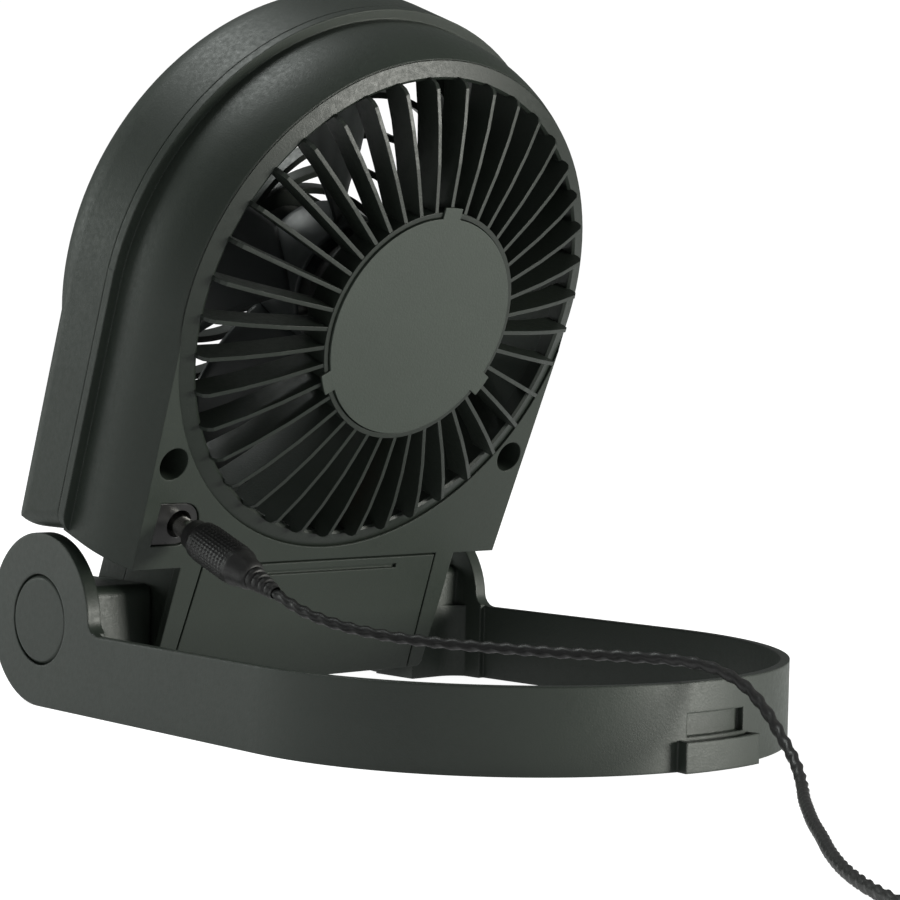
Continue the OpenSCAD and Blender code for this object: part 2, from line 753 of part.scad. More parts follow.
// --- Stand ---
module ear_shape() {
    translate([0, ear_r]) circle(ear_r, $fn = 128);
    difference() {
        polygon([[0, ear_r], [fillet_y, fillet_z], [fillet_y, 0], [0, 0]]);
        translate([fillet_y, fillet_z]) circle(fillet_r);
    }
}

// Extrudes a side view, as y and z, across x from x0 to x1.
module side(x0, x1) { translate([x0, 0, 0]) rotate([90, 0, 90]) linear_extrude(x1 - x0) children(); }

// Side view of a boss, kept inside the ear's round edge at the front
module boss_shape() {
    corner = 3;
    intersection() {
        union() {
            translate([-boss_y, 0]) square([2 * boss_y, boss_z - corner]);
            translate([corner - boss_y, boss_z - corner - 1]) square([2 * (boss_y - corner), corner + 1]);
            for (s = [-1, 1]) translate([s * (boss_y - corner), boss_z - corner]) circle(corner);
        }
        union() {
            translate([0, ear_r]) circle(ear_r - 0.4);
            translate([0, -1]) square([far, far]);
        }
    }
}

// One arm, with its ear, turned in about the loop's centre by the taper
module arm_bar() {
    translate([0, fan_v, 0]) rotate(-taper) translate([0, -ear_along, 0]) {
        translate([loop_in, 0, 0]) cube([loop_t, ear_along, loop_h]);
        side(loop_in, loop_r) ear_shape();
        intersection() {
            side(loop_r - ear_t, loop_r) ear_shape();
            translate([0, -far, 0]) cube([far, far + ear_end, far]);
        }
    }
}

// Concave flare from the boss out to the ear
module boss_flare() {
    steps = 10;
    span = [flare_x[1] - flare_x[0], flare_r[1] - flare_r[0]];
    curve = [for (k = [0 : steps], a = 90 * k / steps)
        [flare_r[1] - span[1] * cos(a), flare_x[0] + span[0] * sin(a)]];
    translate([0, 0, ear_r]) rotate([0, 90, 0]) rotate_extrude($fn = 96)
        polygon(concat([[0, flare_x[0]]], curve, [[0, flare_x[1]]]));
}

module loop_arm() {
    arm_bar();
    boss_flare();
    side(boss_step, ear_out - 2) boss_shape();
    side(boss_in, boss_step + 1) intersection() {
        boss_shape();
        translate([0, ear_r]) circle(boss_end_r);
    }
    difference() {
        translate([web_x, boss_y - 1, 0]) cube([web_r + 1, web_r + 1, loop_h]);
        translate([web_x, boss_y + web_r, -1]) cylinder(r = web_r, h = loop_h + 2);
    }
}

module loop_lip() {
    translate([0, fan_v, 0]) rotate(90 - lip_a) {
        rotate_extrude(angle = 2 * lip_a) {
            translate([lip_r - lip_wall, 0]) square([lip_wall, lip_z]);
            translate([loop_r - 0.5, 0]) square([lip_r - loop_r + 0.5, 1.4]);
        }
        for (a = [0, 2 * lip_a - 0.9]) rotate(a) rotate_extrude(angle = 0.9)
            translate([loop_r - 0.5, 0]) square([lip_r - loop_r + 0.5, lip_z]);
    }
}

module stand_loop() {
    color(charcoal) stand() difference() {
        union() {
            both() loop_arm();
            translate([0, fan_v, 0]) rotate(-taper) rotate_extrude(angle = 180 + 2 * taper, $fn = 128)
                translate([loop_in, 0]) square([loop_t, loop_h]);
            loop_lip();
        }
        translate([0, fan_v, latch_z[0]]) rotate(90 - latch_a) rotate_extrude(angle = 2 * latch_a)
            translate([loop_r - latch_depth, 0]) square([latch_depth + 0.2, latch_z[1] - latch_z[0]]);
        translate([0, 0, ear_r]) both() {
            rotate([0, 90, 0]) cylinder(r = pin_r, h = far);
            translate([ear_out - cap_t - 0.2, 0, 0]) rotate([0, 90, 0]) cylinder(r = cap_r + 0.4, h = 10);
        }
    }
}

module pivot_cap() {
    stand() translate([ear_out - cap_t - 0.2, 0, ear_r]) rotate([0, 90, 0]) difference() {
        union() {
            cylinder(r = cap_r, h = cap_t - 0.6, $fn = 96);
            translate([0, 0, cap_t - 0.6]) cylinder(r1 = cap_r, r2 = cap_r - 0.8, h = 0.7, $fn = 96);
        }
        translate([0, 0, -1]) cylinder(r = pin_r + 0.2, h = 1.5);
    }
}

module pivot_cap_left() { color(charcoal) pivot_cap(); }
module pivot_cap_right() { color(charcoal) mirror([1, 0, 0]) pivot_cap(); }

module pivot_pin() {
    stand() translate([side_in - 4.2, 0, ear_r]) rotate([0, 90, 0])
        cylinder(r = pin_r, h = ear_out - side_in + 2);
}

module pivot_pin_left() { color("silver") pivot_pin(); }
module pivot_pin_right() { color("silver") mirror([1, 0, 0]) pivot_pin(); }

module friction_washer() {
    stand() translate([boss_in - 0.7, 0, ear_r]) rotate([0, 90, 0]) tube(8, pin_r + 0.02, 0.7);
}

module friction_washer_left() { color([0.85, 0.85, 0.8]) friction_washer(); }
module friction_washer_right() { color([0.85, 0.85, 0.8]) mirror([1, 0, 0]) friction_washer(); }

// --- Plug, lead and adapter ---
module plug_barrel() {
    color("silver") head() along_w(jack_at, plug_face - barrel_len) tube(2.75, 1.1, barrel_len + 1.5);
}

module plug_body() {
    color([0.1, 0.1, 0.1]) head() along_w(jack_at, 0) difference() {
        union() {
            rotate_extrude() polygon([[0, plug_face], [3.9, plug_face], [4.1, plug_face + 0.3],
                [4.1, plug_grip[0] - 2], [5.1, plug_grip[0]], [5.1, plug_grip[1]],
                [4.2, plug_grip[1] + 2.5], [3.4, plug_end], [0, plug_end]]);
            for (k = [0 : 15]) rotate(k * 22.5) translate([5, 0, plug_grip[0] + 1])
                cylinder(r = 0.45, h = 14, $fn = 16);
        }
        translate([0, 0, plug_face - 1]) cylinder(r = 2.75, h = 2.5);
    }
}

module plug_strain_relief() {
    color([0.1, 0.1, 0.1]) head() along_w(jack_at, plug_end) difference() {
        cylinder(r1 = 3, r2 = cord_r + 0.2, h = relief_end - plug_end);
        for (k = [0 : 3]) translate([0, 0, 1.4 + 2 * k]) difference() {
            cylinder(r = 6, h = 0.7);
            cylinder(r = 1.9 - 0.1 * k, h = 0.7);
        }
    }
}

// Points along a smooth curve through a hand-placed route
function bend(p, i, t) =
    let (a = p[max(i - 1, 0)], b = p[i], c = p[i + 1], d = p[min(i + 2, len(p) - 1)])
    ((2 * b) + (c - a) * t + (2 * a - 5 * b + 4 * c - d) * t * t + (3 * b - a - 3 * c + d) * t * t * t) / 2;
function smooth(p, n) = [for (i = [0 : len(p) - 2], k = [0 : n - 1]) bend(p, i, k / n), p[len(p) - 1]];
function unit(v) = v / norm(v);
function heading(p, i) = unit(p[min(i + 1, len(p) - 1)] - p[max(i - 1, 0)]);
// Ring of a swept tube, square to the curve's heading and kept level
function ring(at, dir, r) =
    let (s = unit(cross(dir, abs(dir[2]) > 0.9 ? [1, 0, 0] : [0, 0, 1])), u = cross(s, dir))
    [for (k = [0 : tube_sides - 1], a = k * 360 / tube_sides) at + r * (cos(a) * s + sin(a) * u)];

module sweep(p, r) {
    n = len(p);
    m = tube_sides;
    points = [for (i = [0 : n - 1]) each ring(p[i], heading(p, i), r)];
    sides = [for (i = [0 : n - 2], k = [0 : m - 1])
        [i * m + k, i * m + (k + 1) % m, (i + 1) * m + (k + 1) % m, (i + 1) * m + k]];
    start = [for (k = [0 : m - 1]) m - 1 - k];
    finish = [for (k = [0 : m - 1]) (n - 1) * m + k];
    polyhedron(points, concat([start], sides, [finish]), convexity = 6);
}

module power_cord() {
    lie = [for (q = floor_route) [q[0], q[1], cord_lie]];
    color([0.12, 0.12, 0.12]) stand() sweep(smooth(concat([tail], route, lie), 3), cord_r);
}

module cord_coil() {
    color([0.12, 0.12, 0.12]) stand() translate([coil_at[0], coil_at[1], coil_z])
        rotate_extrude() translate([coil_r - coil_half, 0]) square([2 * coil_half, coil_h]);
}

module cord_end() { color([0.12, 0.12, 0.12]) stand() sweep(smooth(end_route, 3), cord_r); }

module cord_tie() {
    mid = [coil_at[0] - coil_r, coil_at[1], coil_z + coil_h / 2];
    color([0.05, 0.05, 0.05]) stand() translate(mid) difference() {
        cube([2 * (coil_half + 0.1 + tie_t), 5, coil_h + 0.1 + 2 * tie_t], center = true);
        cube([2 * (coil_half + 0.1), 6, coil_h + 0.1], center = true);
    }
}

module adapter_housing() {
    color([0.1, 0.1, 0.1]) stand() translate([adapter_at[0], adapter_at[1], 0]) {
        linear_extrude(adapter_size[2]) adapter_shape();
    }
}

module adapter_shape() {
    corner = 4;
    x = adapter_size[0] / 2;
    y = adapter_size[1] / 2;
    square([2 * (x - corner), 2 * y], center = true);
    square([2 * x, 2 * (y - corner)], center = true);
    for (sx = [-1, 1], sy = [-1, 1]) translate([sx * (x - corner), sy * (y - corner)]) circle(corner);
}

module adapter_blades() {
    color("silver") stand() for (s = [-1, 1])
        translate([adapter_at[0] + s * blade_at[0], adapter_at[1] + adapter_size[1] / 2, blade_at[1]])
            translate([-0.75, 0, -3.15]) cube([1.5, 17, 6.3]);
}

stand_loop();
pivot_cap_left();
pivot_cap_right();
pivot_pin_left();
pivot_pin_right();
friction_washer_left();
friction_washer_right();
front_shell();
rear_shell();
front_grille();
front_grille_cap();
rear_grille();
rear_hub_plate();
case_screws();
hub_screws();
motor_bracket();
motor_can();
motor_end_bell();
motor_magnets();
motor_brushes();
motor_bush_front();
motor_bush_rear();
motor_screws();
impeller();
motor_shaft();
armature();
commutator();
battery_tray();
cell(0);  // battery_1
cell(1);  // battery_2
cell(2);  // battery_3
cell(3);  // battery_4
battery_springs();
battery_contacts();
battery_door();
circuit_board();
switch_body();
switch_knob();
jack_housing();
jack_pin();
jack_spring();
wire_red();
wire_black();
plug_barrel();
plug_body();
plug_strain_relief();
power_cord();
cord_coil();
cord_end();
cord_tie();
adapter_housing();
adapter_blades();
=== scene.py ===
"""Looks of the folding desk fan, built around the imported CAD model. Metres, in the model's own frame."""

import math

import bmesh
import bpy
from mathutils import Matrix, Vector


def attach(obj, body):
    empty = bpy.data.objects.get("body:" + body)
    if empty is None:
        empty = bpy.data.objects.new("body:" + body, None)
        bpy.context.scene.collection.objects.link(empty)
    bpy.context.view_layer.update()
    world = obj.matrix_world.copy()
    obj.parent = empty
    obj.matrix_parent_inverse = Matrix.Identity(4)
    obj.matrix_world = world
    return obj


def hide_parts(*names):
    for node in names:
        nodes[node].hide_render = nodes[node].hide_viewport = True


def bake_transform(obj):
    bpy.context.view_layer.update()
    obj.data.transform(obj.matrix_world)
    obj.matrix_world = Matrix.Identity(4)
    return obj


MM = 0.001

# The head's frame: x across, w depth towards the rear grille, v height up the head, from the tilt pivot
PIVOT_Y = -76.6
PIVOT_Z = 22.8
TILT = math.radians(20.5)
FAN_V = 97.8
JACK = (53.2, 37.9)

# Plug, along the jack's axis
PLUG_FACE = 30.2
PLUG_GRIP = (34.5, 50.5)
PLUG_END = 56.5
RELIEF_END = 65.5
RELIEF_RINGS = 4
PLUG_TIP = PLUG_FACE - 9.9
KNURL_RIBS = 18
KNURL_TWIST = 2.4
KNURL_DEPTH = 0.32

# The lead, in millimetres from the pivot's foot: from the plug, over the loop's bar and along the floor
CORD_START = RELIEF_END + 0.2
ROUTE = [
    (53.1, 80, 33.3), (52.2, 87, 31), (49.3, 97, 28.8), (44.7, 109, 27.3), (38.7, 122, 26.6),
    (32, 135, 26.3), (25.5, 148, 26.2), (18.5, 160, 26.2), (12, 170, 25.9), (7.5, 177.5, 24.5),
    (4.6, 184, 21.2), (4, 190, 16.4), (5.2, 196, 11), (8.6, 203, 6.2), (14.8, 210, 2.9),
]
FLOOR_ROUTE = [
    (23.9, 218), (34.2, 227.2), (45.4, 237.5), (57, 248.9), (68.7, 260.2), (80.2, 272.7), (90, 286),
    (97.5, 300), (102.6, 314), (105.4, 325),
]
FLOOR_Z = 1.6
COIL_AT = (86.5, 336)
COIL_R = 17
COIL_STEP = 3.03
COIL_LOW = 2.4
COIL_LAYERS = 4
COIL_COLUMNS = 3
# Angles round the coil, in degrees: a step's length, the first step, and where the coil starts and ends
COIL_SECTOR = 36
COIL_SHIFT = 290
COIL_FIRST = 4
COIL_LAST = 60 + 11 * 360
COIL_POINTS = 12 * 36
END_ROUTE = [
    (91, 357, 11.2), (84.5, 359.6, 10), (77.5, 362.3, 7.6), (71, 366.3, 5.2), (67, 370.5, 3.9),
    (65.2, 374.5, 3.4),
]
LEAD_STEP = 0.8
LEAD_TWIST = 9
LEAD_SIDES = 14
LEAD_MEAN_R = 1.28
LEAD_WAVE = 0.22

# Adapter. Its seam is a groove: half its height, half its floor, its depth, and its place above the middle
SEAM_HALF = 0.35
SEAM_FLAT = 0.3
SEAM_DEPTH = 0.45
SEAM_UP = 2
ADAPTER_AT = (65, 396)
ADAPTER_SIZE = (32, 44, 24)

# Impeller, about the fan's axis
HUB_R = 18.5
HUB_W = (-13, 6)
BLADES = 5
BLADE_TIP = 61.8
BLADE_TURN = math.radians(-11)
# Degrees round the axis that a blade covers at the hub, and how many fewer at the tip
BLADE_WIDE = 44
BLADE_NARROWING = 3
BLADE_SWEEP = math.radians(18)
# The blade's height from edge to edge at the hub, and how much less it is at the tip
BLADE_RISE = 15.5
BLADE_FLATTENING = 4.5
BLADE_CAMBER = 1.7
BLADE_GRID = (14, 16)

# Finishes: how far blotches lighten and darken a plastic, how far scuffs lighten its edges, the radius that
# edges are softened by, and the printed stretch of a battery cell
BLOTCH = 0.14
EDGE_WEAR = 0.25
SOFT_EDGE = 0.3
METAL_EDGE = 0.12
CELL_SPAN = (-20, 30)

# Stage: the glow of the floor and the background, first as a light and then as it looks
FLOOR_HALF = 6.0
FLOOR_GLOW = (0.42, 0.95)
WORLD_GLOW = (0.16, 1.05)

# Camera
CAMERA_AT = (0.489587, 0.508600, 0.102164)
CAMERA_AZIMUTH = math.radians(135.88)
CAMERA_ELEVATION = math.radians(2.60)
CAMERA_ROLL = math.radians(1.38)
CAMERA_LENS = 109.04

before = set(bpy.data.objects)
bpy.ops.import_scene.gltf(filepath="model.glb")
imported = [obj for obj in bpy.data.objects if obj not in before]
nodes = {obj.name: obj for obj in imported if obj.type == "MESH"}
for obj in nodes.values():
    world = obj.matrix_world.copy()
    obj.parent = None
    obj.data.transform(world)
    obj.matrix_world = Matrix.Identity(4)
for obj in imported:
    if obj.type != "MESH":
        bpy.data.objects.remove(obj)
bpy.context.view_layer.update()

head = Matrix.Translation((0, PIVOT_Y * MM, PIVOT_Z * MM)) @ Matrix.Rotation(-TILT, 4, "X")
fan = head @ Matrix.Translation((0, 0, FAN_V * MM)) @ Matrix.Rotation(-math.pi / 2, 4, "X")
jack = head @ Matrix.Translation((JACK[0] * MM, 0, JACK[1] * MM)) @ Matrix.Rotation(-math.pi / 2, 4, "X")


# --- Small helpers ---
def stand_point(p):
    """A point given in millimetres from the pivot's foot."""
    return Vector((p[0], p[1] + PIVOT_Y, p[2])) * MM


def head_point(x, w, v):
    return head @ Vector((x * MM, w * MM, v * MM))


def smoothstep(t):
    t = min(max(t, 0.0), 1.0)
    return t * t * (3 - 2 * t)


def new_object(name, verts, faces, smooth=True):
    mesh = bpy.data.meshes.new(name)
    mesh.from_pydata([tuple(v) for v in verts], [], faces)
    mesh.validate()
    mesh.update()
    for polygon in mesh.polygons:
        polygon.use_smooth = smooth
    obj = bpy.data.objects.new(name, mesh)
    bpy.context.scene.collection.objects.link(obj)
    return obj


def lathe(name, profile, sides, matrix, radial=None):
    """A turned piece: profile is (radius, height) in millimetres from end to end.

    radial changes the radius at an angle and height.
    """
    verts, faces = [], []
    rings = []
    for r, z in profile:
        if r < 1e-6:
            rings.append([len(verts)])
            verts.append(matrix @ Vector((0, 0, z * MM)))
            continue
        ring = []
        for k in range(sides):
            a = 2 * math.pi * k / sides
            rr = r + (radial(a, z) if radial else 0.0)
            ring.append(len(verts))
            verts.append(matrix @ Vector((rr * math.cos(a) * MM, rr * math.sin(a) * MM, z * MM)))
        rings.append(ring)
    for low, high in zip(rings, rings[1:]):
        for k in range(sides):
            n = (k + 1) % sides
            if len(low) == 1:
                faces.append((low[0], high[n], high[k]))
            elif len(high) == 1:
                faces.append((low[k], low[n], high[0]))
            else:
                faces.append((low[k], low[n], high[n], high[k]))
    obj = new_object(name, verts, faces)
    fix_normals(obj)
    return obj


def fix_normals(obj):
    mesh = bmesh.new()
    mesh.from_mesh(obj.data)
    bmesh.ops.recalc_face_normals(mesh, faces=mesh.faces)
    mesh.to_mesh(obj.data)
    mesh.free()


def curve_points(points, step):
    """Evenly spaced points, a step apart, on a smooth curve through the given ones."""
    dense = []
    last = len(points) - 1
    for i in range(last):
        a, b, c, d = points[max(i - 1, 0)], points[i], points[i + 1], points[min(i + 2, last)]
        parts = max(2, int((c - b).length / (step * 0.2)))
        for k in range(parts):
            t = k / parts
            dense.append((
                2 * b + (c - a) * t + (2 * a - 5 * b + 4 * c - d) * t**2 + (3 * b - a - 3 * c + d) * t**3
            ) / 2)
    dense.append(points[-1])
    out, left = [dense[0]], step
    for p, q in zip(dense, dense[1:]):
        gone = (q - p).length
        while gone >= left > 0:
            p = p.lerp(q, left / gone)
            out.append(p)
            gone = (q - p).length
            left = step
        left -= gone
    out[-1] = dense[-1]
    return out


def tube(name, path, section, twist_pitch, sides):
    """A tube along a path of points.

    section gives its radius at an angle round the cord, and turns once every twist_pitch.
    """
    verts, faces = [], []
    side = None
    run = 0.0
    for i, p in enumerate(path):
        ahead = (path[min(i + 1, len(path) - 1)] - path[max(i - 1, 0)]).normalized()
        if side is None:
            side = ahead.cross(Vector((0, 0, 1))).normalized()
        side = (side - ahead * side.dot(ahead)).normalized()
        up = side.cross(ahead)
        if i:
            run += (p - path[i - 1]).length
        turn = 2 * math.pi * run / twist_pitch
        for k in range(sides):
            a = 2 * math.pi * k / sides
            r = section(a + turn)
            verts.append(p + r * (math.cos(a) * side + math.sin(a) * up))
    for i in range(len(path) - 1):
        for k in range(sides):
            n = (k + 1) % sides
            faces.append((i * sides + k, i * sides + n, (i + 1) * sides + n, (i + 1) * sides + k))
    faces.append(tuple(range(sides)))
    faces.append(tuple(range((len(path) - 1) * sides, len(path) * sides)))
    obj = new_object(name, verts, faces)
    fix_normals(obj)
    return obj


# --- Camera ---
def make_camera():
    sin_a, cos_a = math.sin(CAMERA_AZIMUTH), math.cos(CAMERA_AZIMUTH)
    sin_e, cos_e = math.sin(CAMERA_ELEVATION), math.cos(CAMERA_ELEVATION)
    back = Vector((sin_a * cos_e, -cos_a * cos_e, sin_e))
    right = Vector((cos_a, sin_a, 0))
    up = back.cross(right)
    cos_r, sin_r = math.cos(CAMERA_ROLL), math.sin(CAMERA_ROLL)
    right, up = right * cos_r + up * sin_r, up * cos_r - right * sin_r
    turn = Matrix((right, up, back)).transposed().to_4x4()
    data = bpy.data.cameras.new("camera")
    data.lens = CAMERA_LENS
    data.sensor_width = 36
    data.clip_start = 0.01
    data.clip_end = 50
    camera = bpy.data.objects.new("camera", data)
    bpy.context.scene.collection.objects.link(camera)
    camera.matrix_world = Matrix.Translation(CAMERA_AT) @ turn
    bpy.context.scene.camera = camera


make_camera()


# --- Power lead: one cord from the plug to the adapter, its spare length wound into a tied coil ---
def coil_route():
    """Twelve turns in four layers of three.

    A turn steps to the next column, or rises a layer, over a tenth of a turn.
    """
    steps = []
    angle, r, layer = COIL_SHIFT, COIL_R + COIL_STEP, 0
    inward = True
    for _ in range(COIL_LAYERS):
        for _ in range(COIL_COLUMNS - 1):
            next_r = r - COIL_STEP if inward else r + COIL_STEP
            steps.append((angle, "r", r, next_r))
            r = next_r
            angle += 360
        angle -= COIL_SECTOR
        steps.append((angle, "z", layer, layer + 1))
        layer += 1
        angle += 360 - COIL_SECTOR
        inward = not inward
    steps = steps[:-1]
    points = []
    for i in range(COIL_POINTS + 1):
        at = COIL_FIRST + (COIL_LAST - COIL_FIRST) * i / COIL_POINTS
        r, z = COIL_R + COIL_STEP, 0.0
        for start, kind, before, after in steps:
            share = smoothstep((at - start) / COIL_SECTOR)
            if kind == "r":
                r += (after - before) * share
            else:
                z += share
        a = math.radians(at)
        x, y = COIL_AT[0] + r * math.cos(a), COIL_AT[1] + r * math.sin(a)
        points.append((x, y, COIL_LOW + COIL_STEP * z))
    return points


def lead_points():
    exit_point = head_point(JACK[0], CORD_START, JACK[1])
    floor = [(x, y, FLOOR_Z) for x, y in FLOOR_ROUTE]
    return [exit_point] + [stand_point(p) for p in ROUTE + floor + coil_route() + END_ROUTE]


def twin_section(a):
    """Two cores side by side under one jacket"""
    return (LEAD_MEAN_R + LEAD_WAVE * math.cos(2 * a)) * MM


lead_path = curve_points(lead_points(), LEAD_STEP * MM)
power_lead = tube("power_lead", lead_path, twin_section, LEAD_TWIST * MM, LEAD_SIDES)
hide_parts("power_cord", "cord_coil", "cord_end")
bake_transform(power_lead)


# --- Plug ---
def knurl(a, z):
    """The crossed ribs of the plug's grip, fading out over a millimetre at each end"""
    low, high = PLUG_GRIP[0] + 0.6, PLUG_GRIP[1] - 0.6
    if not low < z < high:
        return 0.0
    fade = smoothstep(z - low) * smoothstep(high - z)
    turn = KNURL_TWIST * z
    across = math.cos(KNURL_RIBS * a + turn) * math.cos(KNURL_RIBS * a - turn)
    return KNURL_DEPTH * fade * max(0.0, across)


def make_plug():
    grip_low, grip_high = PLUG_GRIP
    profile = [
        (2.76, PLUG_FACE + 0.1), (3.5, PLUG_FACE), (3.9, PLUG_FACE + 0.25), (4.1, PLUG_FACE + 0.8),
        (4.15, grip_low - 1.6), (4.6, grip_low - 0.8), (5.0, grip_low - 0.1),
    ]
    steps = 64
    for i in range(steps + 1):
        profile.append((5.1, grip_low + (grip_high - grip_low) * i / steps))
    profile += [
        (5.0, grip_high + 0.5), (4.55, grip_high + 1.6), (4.2, grip_high + 2.6), (3.9, PLUG_END - 1.2),
        (3.5, PLUG_END - 0.3), (3.0, PLUG_END),
    ]
    grip = lathe("plug_grip", profile, 144, jack, knurl)
    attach(grip, "head")
    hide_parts("plug_body")
    profile = [(2.9, PLUG_END - 0.2)]
    for i in range(RELIEF_RINGS):
        z = PLUG_END + 0.2 + i * 2.15
        r = 2.95 - 0.3 * i
        profile += [(r, z), (r + 0.06, z + 0.25), (r, z + 1.2), (r - 0.12, z + 1.35)]
        profile += [(1.75, z + 1.5), (1.72, z + 1.95)]
    profile += [(1.75, RELIEF_END - 0.3), (1.6, RELIEF_END)]
    relief = lathe("plug_relief", profile, 48, jack)
    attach(relief, "head")
    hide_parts("plug_strain_relief")
    ring = [
        (2.72, PLUG_TIP - 0.02), (2.35, PLUG_TIP - 0.25), (1.4, PLUG_TIP - 0.25), (1.12, PLUG_TIP),
        (1.12, PLUG_TIP + 3), (1.6, PLUG_TIP + 3), (2.7, PLUG_TIP + 0.6), (2.72, PLUG_TIP - 0.02),
    ]
    liner = lathe("plug_liner", ring, 48, jack)
    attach(liner, "head")
    return grip, relief, liner


plug_grip, plug_relief, plug_liner = make_plug()


# --- Adapter ---
def make_adapter():
    x, y, z = (n / 2 for n in ADAPTER_SIZE)
    mesh = bmesh.new()
    bmesh.ops.create_cube(mesh, size=2)
    for v in mesh.verts:
        v.co = Vector((v.co.x * x, v.co.y * y, v.co.z * z)) * MM
    upright = [e for e in mesh.edges if abs(e.verts[0].co.z - e.verts[1].co.z) > 0.01]
    bmesh.ops.bevel(mesh, geom=upright, offset=4 * MM, segments=6, profile=0.5, affect="EDGES")
    # The seam between the two halves
    seam = ((-SEAM_HALF, 0), (-SEAM_FLAT, SEAM_DEPTH), (SEAM_FLAT, SEAM_DEPTH), (SEAM_HALF, 0))
    for height, inset in seam:
        level = (height + SEAM_UP) * MM
        everything = mesh.verts[:] + mesh.edges[:] + mesh.faces[:]
        bmesh.ops.bisect_plane(mesh, geom=everything, plane_co=(0, 0, level), plane_no=(0, 0, 1))
        if inset:
            for v in mesh.verts:
                if abs(v.co.z - level) < 1e-6:
                    v.co.x -= math.copysign(inset * MM, v.co.x)
                    v.co.y -= math.copysign(inset * MM, v.co.y)
    flat_edges = [e for e in mesh.edges if all(abs(abs(v.co.z) - z * MM) < 1e-6 for v in e.verts)]
    rim = [
        e for e in flat_edges
        if len(e.link_faces) == 2 and abs(e.link_faces[0].normal.z - e.link_faces[1].normal.z) > 0.5
    ]
    bmesh.ops.bevel(mesh, geom=rim, offset=1.4 * MM, segments=4, profile=0.5, affect="EDGES")
    bmesh.ops.recalc_face_normals(mesh, faces=mesh.faces)
    data = bpy.data.meshes.new("adapter_case")
    mesh.to_mesh(data)
    mesh.free()
    case = bpy.data.objects.new("adapter_case", data)
    bpy.context.scene.collection.objects.link(case)
    case.location = stand_point((ADAPTER_AT[0], ADAPTER_AT[1], z + 0.02))
    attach(case, "stand")
    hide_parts("adapter_housing")
    face_y = ADAPTER_AT[1] - y
    at = Matrix.Translation(stand_point((ADAPTER_AT[0], face_y + 0.5, 3.6)))
    at = at @ Matrix.Rotation(math.pi / 2, 4, "X")
    profile = [(3.3, 0), (3.3, 0.9), (2.9, 1.4)]
    for i in range(4):
        z0 = 1.6 + 1.7 * i
        r = 2.75 - 0.26 * i
        profile += [(r, z0), (r, z0 + 1), (1.7, z0 + 1.15), (1.7, z0 + 1.6)]
    profile += [(1.62, 8.6)]
    gland = lathe("adapter_gland", profile, 40, at)
    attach(gland, "stand")
    return case, gland


adapter_case, adapter_gland = make_adapter()


# --- Impeller ---
def blade_grid(turn):
    """One blade: a thin curved sheet from the hub to a rounded tip, pitched less towards the tip."""
    across, along = BLADE_GRID
    front, back = [], []
    for i in range(along + 1):
        t = i / along
        r = HUB_R - 0.6 + (BLADE_TIP - HUB_R + 0.6) * t
        wide = math.radians(BLADE_WIDE - BLADE_NARROWING * t) * (1 - 0.16 * t**4)
        sweep = BLADE_SWEEP * t**1.5
        rise = BLADE_RISE - BLADE_FLATTENING * t
        for j in range(across + 1):
            s = j / across
            soft = 1 - 0.55 * max(0.0, t - 0.72) ** 2 * 12 * (2 * s - 1) ** 4
            a = turn + sweep + wide * (s - 0.5) * soft
            camber = BLADE_CAMBER * math.sin(math.pi * s)
            w = -3.5 + rise * (s - 0.5) + camber
            rr = r - 2.2 * max(0.0, abs(2 * s - 1) - 0.55) ** 2 * 5 * smoothstep((t - 0.8) / 0.2)
            thick = 0.45 + 0.45 * (1 - t) * math.sin(math.pi * min(max(s, 0.05), 0.95))
            for rows, sign in ((front, -1), (back, 1)):
                rows.append(Vector((rr * math.cos(a), rr * math.sin(a), w + sign * thick)) * MM)
    return across, along, front, back


def make_impeller():
    verts, faces = [], []
    for b in range(BLADES):
        across, along, front, back = blade_grid(2 * math.pi * b / BLADES + BLADE_TURN)
        base = len(verts)
        verts += [fan @ p for p in front + back]
        size = len(front)
        row = across + 1
        for i in range(along):
            for j in range(across):
                near = base + i * row + j
                corners = (near, near + 1, near + row + 1, near + row)
                faces.append(corners)
                faces.append(tuple(k + size for k in reversed(corners)))
        edge = [i * row for i in range(along)] + [along * row + j for j in range(across)]
        edge += [i * row + across for i in range(along, 0, -1)] + [j for j in range(across, 0, -1)]
        edge = [base + k for k in edge]
        for k, n in zip(edge, edge[1:] + edge[:1]):
            faces.append((k, n, n + size, k + size))
    blades = new_object("impeller_blades", verts, faces)
    fix_normals(blades)
    low, high = HUB_W
    profile = [
        (0, low), (HUB_R - 3.4, low), (HUB_R - 2, low + 0.3), (HUB_R - 0.8, low + 1.1),
        (HUB_R - 0.15, low + 2.4), (HUB_R, low + 4), (HUB_R, high - 0.3), (HUB_R - 0.3, high),
        (HUB_R - 1.3, high), (HUB_R - 1.6, high - 0.3), (HUB_R - 1.6, low + 3.4), (HUB_R - 3, low + 2),
        (4, low + 2), (3.4, low + 2.6), (3.4, 1.7), (3.1, 2), (1.2, 2), (1.2, low + 1), (0, low + 1),
    ]
    hub = lathe("impeller_hub", profile, 96, fan)
    for piece in (blades, hub):
        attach(piece, "rotor")
    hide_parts("impeller")
    return blades, hub


impeller_blades, impeller_hub = make_impeller()


